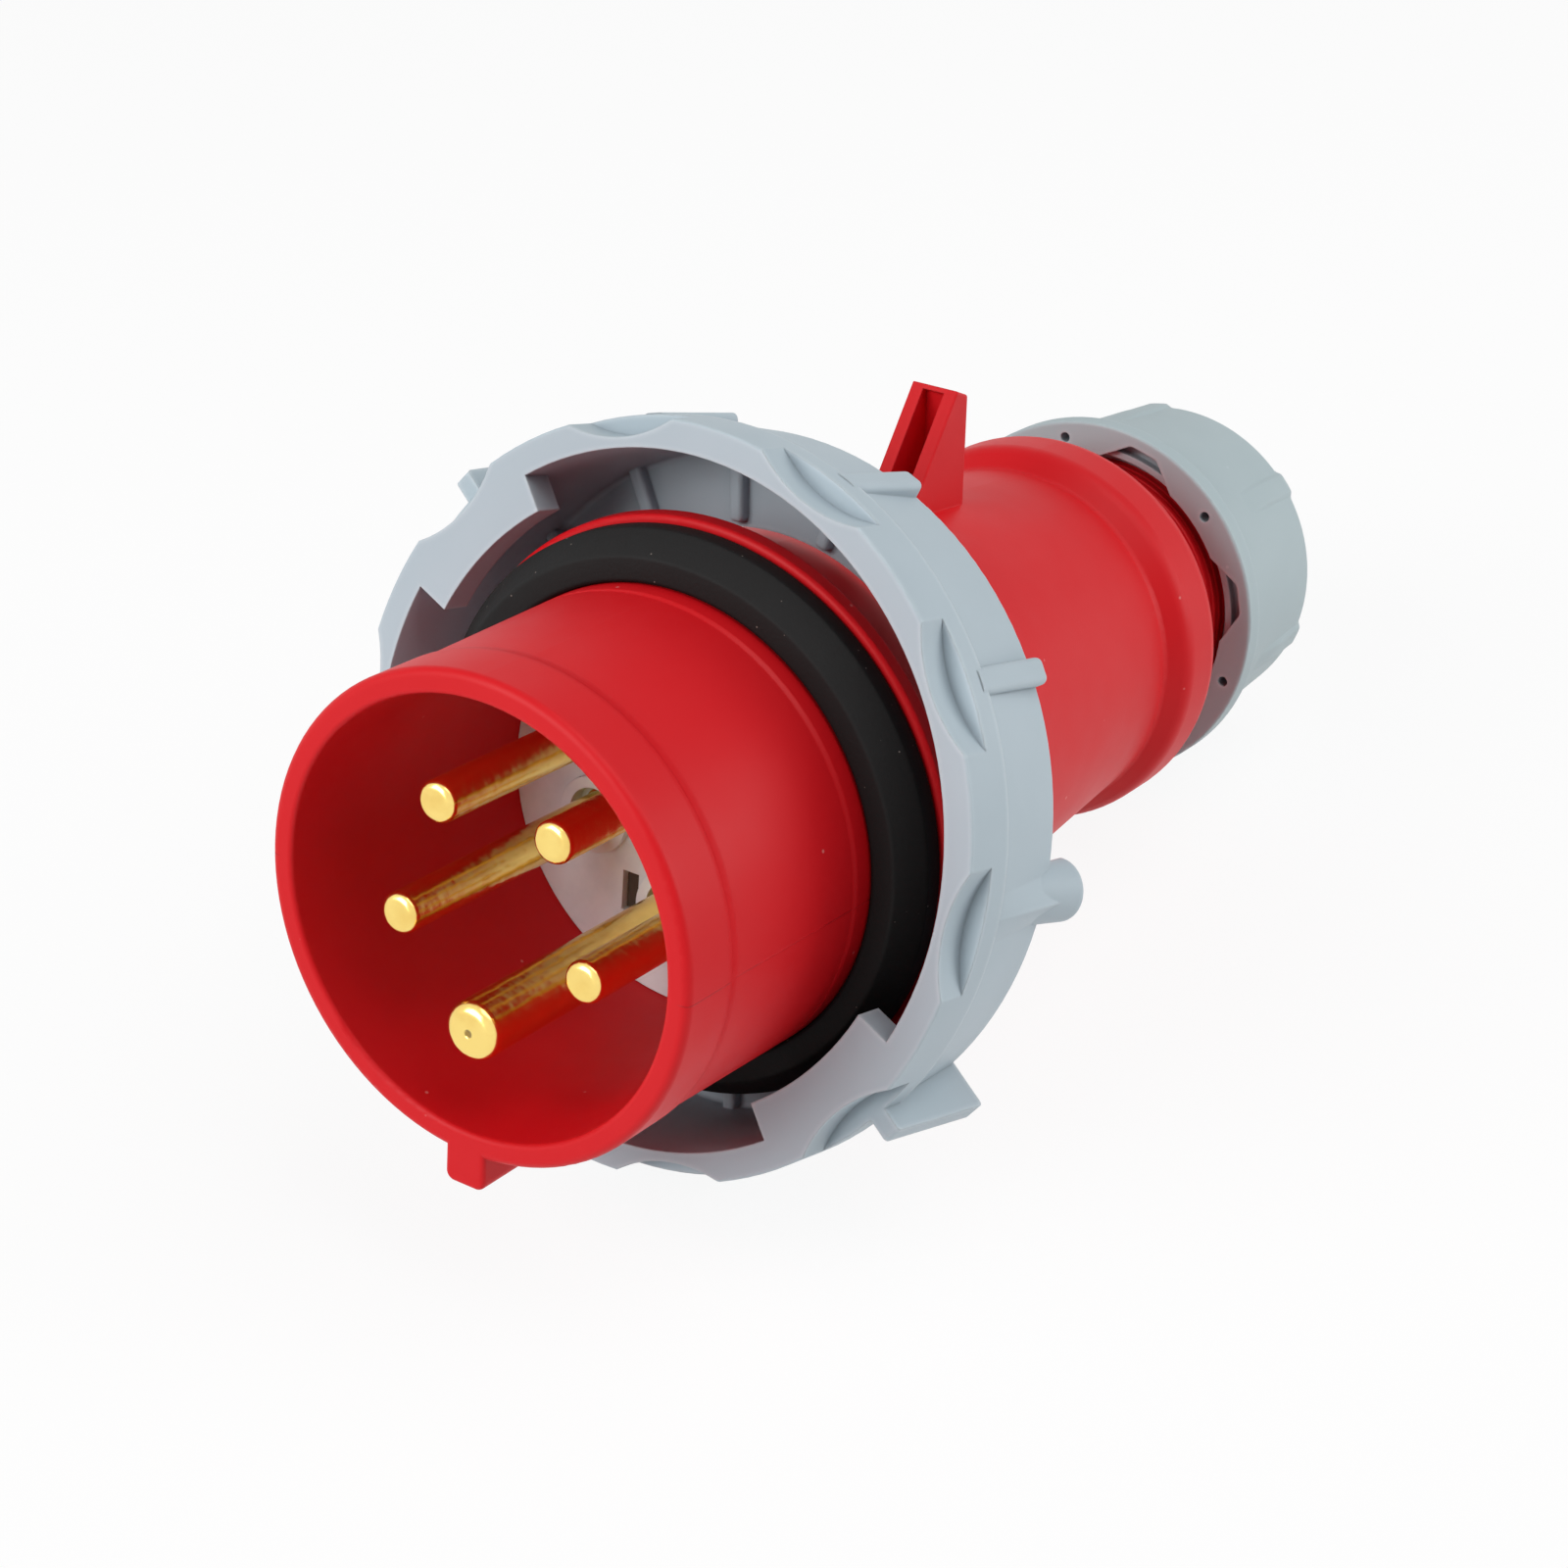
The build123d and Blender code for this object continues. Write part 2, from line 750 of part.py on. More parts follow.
def make_cage():
    """Clamping cage: a thin base ring with tapered fingers that grip the cable."""
    tip = cage_front + cage_length
    base_back = cage_front + cage_base_thickness
    points = [
        (cage_front, cage_root_radius - cage_wall),
        (cage_front, cage_base_radius),
        (base_back, cage_base_radius),
        (base_back, cage_root_radius),
        (tip, cage_tip_radius),
        (tip, cage_tip_radius - cage_wall),
    ]
    cage = turned(points)
    low = cage_tip_radius - 2 * cage_wall
    slit = block(base_back, tip + overrun, cage_slit_width, low, cage_base_radius)
    for i in range(cage_slits):
        cage -= clocked(slit, 360.0 / cage_slits * i)
    return cage


def make_slip_washer():
    """Flat washer that the nut's cone pushes, so that the cage isn't twisted."""
    slope = (neck_radius + thread_clearance - nut_cone_end_radius) / nut_cone_length
    reach = (washer_outer_radius + washer_gap - nut_cone_end_radius) / slope
    rear = nut_rear_inside - reach
    return tube(rear - washer_thickness, rear, washer_outer_radius, washer_inner_radius)


def build_pieces():
    """Every piece on the plug's own axis, by its name."""
    pieces = {
        "collar_shell": make_collar(),
        "contact_insert": make_insert(),
        "contact_retainer": make_retainer(),
        "retainer_screw": make_retainer_screw(),
        "lock_slide": make_latch(),
        "face_gasket": make_gasket(),
        "housing_seal": make_housing_seal(),
        "rear_housing": make_housing(),
        "locking_ring": ring_place() * make_ring(),
        "gland_seal": make_gland_seal(),
        "clamp_cage": make_cage(),
        "slip_washer": make_slip_washer(),
        "gland_nut": make_nut(),
    }
    for name, clock in pin_places().items():
        pieces[name] = make_pin(name, clock)
        screw_name = name.replace("pin", "terminal_screw")
        pieces[screw_name] = make_terminal_screw(name, clock)
    return pieces


def rest_turn():
    """Turn that lays the plug on the rear edges of its ring and of its nut."""
    foot = ring_place() * Location((ring_width - edge_round, 0, -ring_tail_radius))
    nut_foot = Vector(nut_rear - soft_round / 2, 0, -nut_tail_radius)
    run = nut_foot.X - foot.position.X
    rise = nut_foot.Z - foot.position.Z
    return Rotation(0, degrees(atan2(rise, run)), 0) * Rotation(-rest_roll, 0, 0)


def main():
    pieces = build_pieces()
    turn = rest_turn()
    laid = {name: turn * piece for name, piece in pieces.items()}
    box = Compound(children=[Compound([*piece.solids()]) for piece in laid.values()]).bounding_box()
    centre = box.center()
    shift = Location((-centre.X, -centre.Y, -box.min.Z))
    os.makedirs("parts", exist_ok=True)
    for name, piece in laid.items():
        placed = [shift * solid for solid in piece.solids()]
        whole = placed[0] if len(placed) == 1 else Compound(placed)
        export_step(whole, f"parts/{name}.step")
    print("laid at", (shift * turn).orientation, "origin", (shift * turn).position)
    print("ring", (shift * turn * ring_place()).position, (shift * turn * ring_place()).orientation)


main()
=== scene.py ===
# %% [markdown]
# A red five-pin industrial plug, as on a studio table. The moulded bodies, the pins and
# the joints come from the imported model, which is the fixed frame here. This lesson gives
# every piece its real surface: rounded moulded edges, plastic with fine grain and mould
# lines, speckled rubber and turned brass.

# %% Load the frame
import json
from math import degrees, pi, radians, sin, tan

import bmesh
import bpy
from mathutils import Matrix, Vector


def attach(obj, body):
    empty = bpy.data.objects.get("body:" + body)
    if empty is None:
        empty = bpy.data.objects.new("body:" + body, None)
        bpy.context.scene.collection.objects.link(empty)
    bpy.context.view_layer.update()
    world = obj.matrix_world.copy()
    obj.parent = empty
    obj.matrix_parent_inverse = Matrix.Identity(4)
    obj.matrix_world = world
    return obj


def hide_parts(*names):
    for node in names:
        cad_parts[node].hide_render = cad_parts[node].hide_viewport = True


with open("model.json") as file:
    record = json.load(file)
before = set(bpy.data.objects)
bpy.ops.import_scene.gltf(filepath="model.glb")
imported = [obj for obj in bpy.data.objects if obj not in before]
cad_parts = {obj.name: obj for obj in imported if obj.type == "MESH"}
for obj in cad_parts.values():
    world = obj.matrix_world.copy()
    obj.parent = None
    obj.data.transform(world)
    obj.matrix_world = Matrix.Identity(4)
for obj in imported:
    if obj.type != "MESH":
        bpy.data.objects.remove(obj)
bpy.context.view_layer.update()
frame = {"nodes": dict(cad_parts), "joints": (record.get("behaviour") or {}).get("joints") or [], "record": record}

nodes = frame["nodes"]

# %% [markdown]
# The plug lies tilted on its locking ring and its gland nut, so nothing on it is in line
# with the world. Most patterns follow the plug's own axis, though. The record's mounts
# give that axis: the keyed collar's mount is the centre of the front rim, and the earth
# pin lies straight below it. Three vectors at right angles then make the plug's frame.
# A distance along its axis is called a station here, and it counts from the front rim.

# %% The plug's own frame
mounts = {mount["name"]: mount for mount in frame["record"]["mounts"]}
joints = {joint["name"]: joint for joint in frame["joints"]}
rim_centre = Vector(mounts["keyed_collar"]["pos_m"])
plug_x = -Vector(mounts["keyed_collar"]["axis"]).normalized()
to_earth = Vector(mounts["earth_pin"]["pos_m"]) - rim_centre
plug_z = -(to_earth - plug_x * to_earth.dot(plug_x)).normalized()
plug_y = plug_z.cross(plug_x)
plug_turn = Matrix((plug_x, plug_y, plug_z)).transposed()
from_plug = Matrix.Translation(rim_centre) @ plug_turn.to_4x4()
to_plug = from_plug.inverted()


def in_plug(x, y, z):
    """The place in the model of a point in the plug's own frame, all in metres."""
    return from_plug @ Vector((x, y, z))


def spans(node):
    """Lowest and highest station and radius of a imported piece, in the plug's frame."""
    points = [to_plug @ vertex.co for vertex in nodes[node].data.vertices]
    radii = [(point.y ** 2 + point.z ** 2) ** 0.5 for point in points]
    stations = [point.x for point in points]
    return min(stations), max(stations), min(radii), max(radii)


ring_x = Vector(joints["ring_turn"]["axis"]).normalized()
print("plug tilt", round(degrees(plug_x.angle(Vector((1, 0, 0)))), 2), "degrees")
print("ring lean", round(degrees(plug_x.angle(ring_x)), 2), "degrees")

# %% [markdown]
# The camera stands in front of the pins, to the left of the plug and above it. Its place
# was worked out from the ellipses of the collar's rim and the pins, so it is written in
# the plug's frame. It looks at a point on the axis, just behind the locking ring. A lens
# of 71 mm on a 36 mm sensor gives the same perspective as the photograph.

# %% Camera
eye_in_plug = (-0.2347, -0.1845, 0.1476)
aim_in_plug = (0.0610, 0.0001, -0.0036)
camera_lens = 71.26
camera_sensor = 36.0
camera_reach = (0.01, 20.0)
plug_roll_in_view = 4.14

eye = in_plug(*eye_in_plug)
backward = (eye - in_plug(*aim_in_plug)).normalized()
upright = (plug_z - backward * plug_z.dot(backward)).normalized()
upright = Matrix.Rotation(radians(plug_roll_in_view), 3, backward) @ upright
sideways = upright.cross(backward)
camera_turn = Matrix((sideways, upright, backward)).transposed()
camera_data = bpy.data.cameras.new("camera")
camera_data.lens = camera_lens
camera_data.sensor_width = camera_sensor
camera_data.clip_start, camera_data.clip_end = camera_reach
camera = bpy.data.objects.new("camera", camera_data)
bpy.context.scene.collection.objects.link(camera)
camera.matrix_world = Matrix.Translation(eye) @ camera_turn.to_4x4()
bpy.context.scene.camera = camera
print("eye", [round(w, 4) for w in eye], "distance", round(eye.length, 3))

# %% [markdown]
# Node trees get long when each sum is a node made by hand. This small class wraps a
# socket, so that a sum on values can be written as plain Python, such as 1 - mask * 0.4.
# Each operator adds the Math node that it stands for. Colours never go through them,
# because a Math node would turn them grey.

# %% Sums on sockets
class Wire:
    """One output socket that can stand in a sum."""

    def __init__(self, graph, socket):
        self.graph = graph
        self.socket = socket

    def __add__(self, other):
        return self.graph.math("ADD", self, other)

    def __radd__(self, other):
        return self.graph.math("ADD", other, self)

    def __sub__(self, other):
        return self.graph.math("SUBTRACT", self, other)

    def __rsub__(self, other):
        return self.graph.math("SUBTRACT", other, self)

    def __mul__(self, other):
        return self.graph.math("MULTIPLY", self, other)

    def __rmul__(self, other):
        return self.graph.math("MULTIPLY", other, self)

    def __truediv__(self, other):
        return self.graph.math("DIVIDE", self, other)

    def __rtruediv__(self, other):
        return self.graph.math("DIVIDE", other, self)


# %% [markdown]
# Every other node comes from one method, which sets the node's own settings first and
# then its sockets, because some settings change which sockets there are. The same class
# serves materials, shapes and the sky, since all three are trees of nodes.

# %% Node trees
class Graph:
    """A node tree under construction."""

    def __init__(self, tree):
        self.tree = tree
        tree.nodes.clear()

    def node(self, kind, settings=None, inputs=None, output=0):
        """Add a node, and give back one of its outputs."""
        made = self.tree.nodes.new(kind)
        for key, value in (settings or {}).items():
            setattr(made, key, value)
        for key, value in (inputs or {}).items():
            if isinstance(value, Wire):
                self.tree.links.new(value.socket, made.inputs[key])
            else:
                made.inputs[key].default_value = value
        return Wire(self, made.outputs[output]) if made.outputs else None

    def math(self, operation, *values):
        """A Math node on one, two or three values."""
        inputs = dict(enumerate(values))
        return self.node("ShaderNodeMath", {"operation": operation}, inputs)

    def split(self, vector):
        """The three parts of a vector, as wires."""
        made = self.node("ShaderNodeSeparateXYZ", {}, {0: vector}).socket.node
        return [Wire(self, output) for output in made.outputs]

    def join(self, *parts):
        """A vector from its three parts."""
        return self.node("ShaderNodeCombineXYZ", {}, dict(enumerate(parts)))

    def ease(self, value, low, high):
        """0 below low, 1 above high, and a soft step between."""
        settings = {"interpolation_type": "SMOOTHSTEP"}
        inputs = {"Value": value, "From Min": low, "From Max": high}
        return self.node("ShaderNodeMapRange", settings, inputs)

    def seen(self):
        """1 where the camera or a reflection looks, 0 where light falls on a thing."""
        straight = self.node("ShaderNodeLightPath", {}, {}, "Is Camera Ray")
        mirrored = self.node("ShaderNodeLightPath", {}, {}, "Is Glossy Ray")
        return self.math("MAXIMUM", straight, mirrored)


# %% [markdown]
# The imported pieces keep sharp edges, while every edge of a real moulding is a little
# round. A Bevel node bends the light over those edges without touching the mesh. The
# Ambient Occlusion node finds the edges and the hollow corners themselves, so that edges
# can be painted pale as a painted highlight and corners painted dark as painted shade. An
# image wrapped round each piece could carry the same marks, but it would need unwrapping
# and would blur up close. All patterns read Object coordinates instead, which are metres
# of the model here, so each size below is the real size of its grain.

# %% Material helpers
edge_samples = 4
corner_start = 0.12
corner_full = 0.5
speck_core = 0.05
speck_edge = 0.12


class Shader(Graph):
    """A material under construction."""

    def __init__(self, name):
        self.material = bpy.data.materials.new(name)
        self.material.use_nodes = True
        super().__init__(self.material.node_tree)
        self.metres = self.node("ShaderNodeTexCoord", output="Object")

    def in_frame(self):
        """Station, sideways and upward parts in the plug's own frame."""
        turn = plug_turn.to_euler()
        inputs = {"Vector": self.metres, "Location": rim_centre, "Rotation": turn}
        return self.split(self.node("ShaderNodeMapping", {"vector_type": "TEXTURE"}, inputs))

    def noise(self, size, detail=3.0, roughness=0.5):
        """Smooth noise from 0 to 1, with lumps of about one size in metres."""
        inputs = {"Vector": self.metres, "Scale": 1.0 / size}
        inputs.update({"Detail": detail, "Roughness": roughness})
        return self.node("ShaderNodeTexNoise", {}, inputs, "Fac")

    def specks(self, spacing, share):
        """1 in a speck and 0 elsewhere; only a share of the cells has one."""
        inputs = {"Vector": self.metres, "Scale": 1.0 / spacing}
        cell = self.node("ShaderNodeTexVoronoi", {"feature": "F1"}, inputs).socket.node
        chance = self.split(Wire(self, cell.outputs["Color"]))[0]
        away = Wire(self, cell.outputs["Distance"])
        middle = 1.0 - self.ease(away, speck_core, speck_edge)
        return middle * self.math("LESS_THAN", chance, share)

    def near(self, point, inner, outer):
        """1 within one distance of a point, 0 beyond another."""
        settings = {"operation": "DISTANCE"}
        inputs = {0: self.metres, 1: point}
        apart = self.node("ShaderNodeVectorMath", settings, inputs, "Value")
        return 1.0 - self.ease(apart, inner, outer)

    def corners(self, reach, inside):
        """1 in a hollow corner, or on an outer edge if inside; 0 on open faces."""
        settings = {"samples": edge_samples, "inside": inside, "only_local": True}
        free = self.node("ShaderNodeAmbientOcclusion", settings, {"Distance": reach}, "AO")
        return self.ease(1.0 - free, corner_start, corner_full)

    def mix(self, factor, first, second):
        """Mix two colours."""
        inputs = {0: factor, 6: first, 7: second}
        return self.node("ShaderNodeMix", {"data_type": "RGBA"}, inputs, 2)

    def rounded(self, radius):
        """A normal that rounds every sharp edge a little."""
        return self.node("ShaderNodeBevel", {"samples": edge_samples}, {"Radius": radius})

    def bump(self, height, depth, before=None):
        """A normal from a height of 0 to 1, with its depth in metres."""
        inputs = {"Height": height, "Distance": depth, "Strength": 1.0}
        if before is not None:
            inputs["Normal"] = before
        return self.node("ShaderNodeBump", {}, inputs)

    def grained(self, size, depth, before):
        """The fine grain that a steel mould leaves, as a bump."""
        return self.bump(self.noise(size, 3.0, 0.6), depth, before)

    def principled(self, **inputs):
        """The surface and the output; a name's underscores stand for spaces."""
        inputs = {key.replace("_", " "): value for key, value in inputs.items()}
        surface = self.node("ShaderNodeBsdfPrincipled", {}, inputs)
        self.node("ShaderNodeOutputMaterial", {}, {"Surface": surface})
        return self.material


def srgb(red, green, blue):
    """A colour as a screen shows it, 0 to 255, in the linear values of a shader."""
    parts = []
    for part in (red, green, blue):
        part /= 255.0
        parts.append(part / 12.92 if part <= 0.04045 else ((part + 0.055) / 1.055) ** 2.4)
    return (*parts, 1.0)


print("red as written", [round(part, 3) for part in srgb(206, 14, 24)])

# %% [markdown]
# The collar and the rear housing are injection-moulded in one red plastic. Such a surface
# is even in colour, a little glossy, and carries a very fine grain from the steel mould.
# A few pale specks of dust and faint flow clouds keep it from looking like paint.
# First comes the line where the mould closed. The two mould halves met in a hair-thin
# line along the plug, on the left and the right. It is level on the collar and slants on
# the housing, so it is drawn as a height above each one's own straight line, and noise
# breaks it up where it was worn away.

# %% Mould line on the red shells
line_half_width = 0.00012
line_core = 0.000036
line_depth = 0.00004
collar_line_drop = 0.0004
housing_line_drop = 0.0012
housing_line_slope = 0.076
housing_line_level_at = 0.080
housing_starts = 0.045


def mould_line(shader, station, upward):
    """1 on the hairline where the mould halves met, 0 beside it."""
    on_collar = upward + collar_line_drop
    slant = (station - housing_line_level_at) * housing_line_slope
    on_housing = upward + housing_line_drop + slant
    behind = shader.math("GREATER_THAN", station, housing_starts)
    height = shader.math("ABSOLUTE", on_collar * (1.0 - behind) + on_housing * behind)
    return 1.0 - shader.ease(height, line_core, line_half_width)


# %% [markdown]
# The collar stands a little proud in two places: in a band behind the rim and in a bead in
# front of the flange. The steps are only some tenths of a millimetre, so a bump draws them
# from the station, on the outside of the wall alone.

# %% Red moulded plastic
red_base = srgb(206, 14, 24)
red_pale_tone_and_highlight = srgb(222, 44, 48)
red_dark = srgb(120, 8, 14)
red_dust = srgb(240, 200, 195)
red_cloud_size = 0.018
red_dust_spacing = 0.0024
worn_size = 0.004
sheen_size = 0.006
edge_reach = 0.0007
red_edge_round = 0.0003
red_grain_size = 0.00035
moulded_grain_depth = 0.00001
moulded_gloss = 0.22
wall_inside = 0.0268
wall_outside = 0.0278
waist_starts = 0.0072
waist_full = 0.0096
bead_starts = 0.0308
bead_full = 0.0320
flange_front = 0.040
waist_depth = 0.0004


def collar_form(shader, station, outer):
    """1 on the collar's band and bead, 0 on the waist between them."""
    waist = shader.ease(station, waist_starts, waist_full)
    bead = shader.ease(station, bead_starts, bead_full)
    in_collar = shader.math("LESS_THAN", station, flange_front)
    return 1.0 - (waist - bead) * outer * in_collar


def make_red(name):
    shader = Shader(name)
    station, aside, upward = shader.in_frame()
    radius = shader.math("SQRT", aside * aside + upward * upward)
    outer = shader.ease(radius, wall_inside, wall_outside)
    line = mould_line(shader, station, upward) * outer
    worn = shader.ease(shader.noise(worn_size), 0.42, 0.56)
    clouds = shader.ease(shader.noise(red_cloud_size, 2.0), 0.45, 0.9)
    colour = shader.mix(clouds * 0.15, red_base, red_pale_tone_and_highlight)
    colour = shader.mix(shader.specks(red_dust_spacing, 0.04) * 0.3, colour, red_dust)
    colour = shader.mix(line * worn * 0.35, colour, red_dark)
    # Outer edges are painted pale, as a painted highlight; the same pale red also tints the flow clouds.
    colour = shader.mix(shader.corners(edge_reach, True) * 0.3, colour, red_pale_tone_and_highlight)
    form = collar_form(shader, station, outer)
    normal = shader.bump(form, waist_depth, shader.rounded(red_edge_round))
    normal = shader.bump(line, line_depth, normal)
    normal = shader.grained(red_grain_size, moulded_grain_depth, normal)
    rough = 0.42 + shader.noise(sheen_size) * 0.1
    return shader.principled(
        Base_Color=colour, Roughness=rough, Specular_IOR_Level=moulded_gloss, Normal=normal,
    )


red_plastic = make_red("red_plastic")
print("made", red_plastic.name)

# %% [markdown]
# The locking ring and the gland nut are moulded in a cool grey plastic, slightly rougher
# than the red. The two differ by a shade, because they come from different moulds. Their
# edges are painted pale, as a painted highlight, and the hollows between them are painted
# darker, as painted shade.

# %% Grey moulded plastic
grey_dust = srgb(235, 240, 243)
grey_painted_shade = srgb(118, 128, 138)
grey_edge_highlight = srgb(222, 230, 235)
grey_cloud_size = 0.02
grey_dust_spacing = 0.0026
grey_grain_size = 0.0003
grey_edge_round = 0.0004
hollow_reach = 0.0022


def make_grey(name, base, pale):
    shader = Shader(name)
    clouds = shader.ease(shader.noise(grey_cloud_size, 2.0), 0.4, 0.8)
    colour = shader.mix(clouds * 0.5, base, pale)
    colour = shader.mix(shader.specks(grey_dust_spacing, 0.05) * 0.25, colour, grey_dust)
    # Hollow corners are painted darker: painted shade.
    colour = shader.mix(shader.corners(hollow_reach, False) * 0.4, colour, grey_painted_shade)
    # Outer edges are painted pale: a painted highlight.
    colour = shader.mix(shader.corners(edge_reach, True) * 0.5, colour, grey_edge_highlight)
    normal = shader.rounded(grey_edge_round)
    normal = shader.grained(grey_grain_size, moulded_grain_depth, normal)
    rough = 0.42 + shader.noise(sheen_size) * 0.12
    return shader.principled(
        Base_Color=colour, Roughness=rough, Specular_IOR_Level=moulded_gloss, Normal=normal,
    )


ring_plastic = make_grey("ring_plastic", srgb(176, 190, 198), srgb(184, 197, 205))
nut_plastic = make_grey("nut_plastic", srgb(172, 187, 191), srgb(180, 194, 198))
print("made", ring_plastic.name, "and", nut_plastic.name)

# %% [markdown]
# The face gasket is black rubber with a dusty, speckled surface. Rubber hardly shines,
# and its specks are small pale grains pressed into it. They could be scattered as tiny
# meshes, but they stand no higher than the rubber, so a pattern of cells is enough: each
# cell draws a chance, and only some cells show a speck in their middle.

# %% Speckled rubber
rubber_base = srgb(6, 5, 5)
rubber_smear = srgb(14, 12, 12)
rubber_speck = srgb(150, 140, 132)
smear_size = 0.008
rubber_speck_spacing = 0.0011
rubber_grain_size = 0.0005
rubber_grain_depth = 0.00004
rubber_edge_round = 0.0003


def make_rubber(name):
    shader = Shader(name)
    smears = shader.noise(smear_size, 4.0, 0.6)
    colour = shader.mix(shader.ease(smears, 0.45, 0.8) * 0.5, rubber_base, rubber_smear)
    specks = shader.specks(rubber_speck_spacing, 0.16)
    colour = shader.mix(specks * 0.6, colour, rubber_speck)
    normal = shader.rounded(rubber_edge_round)
    normal = shader.grained(rubber_grain_size, rubber_grain_depth, normal)
    return shader.principled(
        Base_Color=colour, Roughness=0.62 + smears * 0.15, Specular_IOR_Level=0.25, Normal=normal,
    )


rubber = make_rubber("speckled_rubber")
print("made", rubber.name)

# %% [markdown]
# The pins are turned from brass bar and polished. The lathe leaves fine rings round each
# pin, so one bump runs along the plug's axis only. Polishing leaves soft unevenness over
# it, and the metal tarnishes in clouds. The earth pin's end still shows the small dimple
# of the lathe's centre, so the script looks up where that end is.

# %% Turned brass
earth_points = [to_plug @ vertex.co for vertex in nodes["earth_pin"].data.vertices]
earth_front = min(point.x for point in earth_points)
earth_tip = in_plug(earth_front, 0.0, to_earth.dot(plug_z))
lathe_pitch = 0.00028
lathe_depth = 0.0000012
polish_size = 0.0016
polish_depth = 0.00008
tarnish_size = 0.006
dimple_radius = 0.0003
dimple_edge = 0.0006
dimple_depth = 0.0002
brass_clean = srgb(252, 222, 132)
brass_tarnished = srgb(236, 194, 102)
brass_dimple_shade = srgb(96, 52, 22)
print("earth pin tip", [round(w, 4) for w in earth_tip])


def make_brass(name):
    shader = Shader(name)
    station = shader.in_frame()[0]
    tarnish = shader.noise(tarnish_size, 3.0, 0.6)
    dimple = shader.near(earth_tip, dimple_radius, dimple_edge)
    colour = shader.mix(shader.ease(tarnish, 0.4, 0.75) * 0.6, brass_clean, brass_tarnished)
    # The dimple is painted dark brown: painted shade in its small hollow.
    colour = shader.mix(dimple * 0.7, colour, brass_dimple_shade)
    rings = shader.math("SINE", station * (2 * pi / lathe_pitch)) * 0.5 + 0.5
    normal = shader.bump(rings, lathe_depth)
    normal = shader.bump(shader.noise(polish_size, 1.0), polish_depth, normal)
    normal = shader.bump(1.0 - dimple, dimple_depth, normal)
    return shader.principled(
        Base_Color=colour, Metallic=1.0, Roughness=0.18 + tarnish * 0.06, Normal=normal,
    )


brass = make_brass("turned_brass")

# %% [markdown]
# The rest is plainer: the off-white moulding that holds the pins, the brown slide behind
# its slot, the pale nylon of the clamping cage and the zinc plating of the screws. They
# share one recipe, two close shades in clouds, under the same moulded grain.

# %% Inner materials
inner_cloud_size = 0.005
inner_grain_size = 0.0004
inner_grain_depth = 0.00002
inner_edge_round = 0.0002


def make_plain(name, base, shade, rough, metal=0.0):
    shader = Shader(name)
    clouds = shader.noise(inner_cloud_size)
    colour = shader.mix(shader.ease(clouds, 0.35, 0.75), base, shade)
    normal = shader.rounded(inner_edge_round)
    normal = shader.grained(inner_grain_size, inner_grain_depth, normal)
    return shader.principled(
        Base_Color=colour, Roughness=rough + clouds * 0.1, Metallic=metal, Normal=normal,
    )


insert_plastic = make_plain("insert_plastic", srgb(230, 245, 248), srgb(216, 232, 236), 0.5)
slide_plastic = make_plain("slide_plastic", srgb(70, 60, 46), srgb(58, 50, 40), 0.5)
cage_plastic = make_plain("cage_plastic", srgb(214, 212, 200), srgb(202, 199, 186), 0.4)
zinc = make_plain("zinc_plate", srgb(190, 190, 184), srgb(166, 168, 166), 0.3, 1.0)

# %% [markdown]
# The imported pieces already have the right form, so most of them only need their surface.
# Each one gets the material of its slot in the record.

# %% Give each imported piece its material
slot_materials = {
    "red_shell": red_plastic,
    "ring_grey": ring_plastic,
    "nut_grey": nut_plastic,
    "gasket_rubber": rubber,
    "pin_brass": brass,
    "insert_moulding": insert_plastic,
    "slide_moulding": slide_plastic,
    "cage_moulding": cage_plastic,
    "plated_steel": zinc,
}
node_slot = {part["node"]: part["material_slot"] for part in frame["record"]["subparts"]}
for node, thing in nodes.items():
    thing.data.materials.clear()
    thing.data.materials.append(slot_materials[node_slot[node]])
print("dressed", len(nodes), "nodes in", len(slot_materials), "materials")

# %% [markdown]
# Three forms on this plug follow a plain rule, so they are grown by geometry nodes: the
# gasket is a turned ring, the nut's grip ribs repeat round it, and a thread winds round the
# neck. A tree is built here with named inputs for its sizes. It runs on a small source
# mesh, and its result becomes an ordinary mesh that is laid in the plug's place.

# %% Shape helpers
merge_distance = 0.000001
sharp_from = radians(40.0)


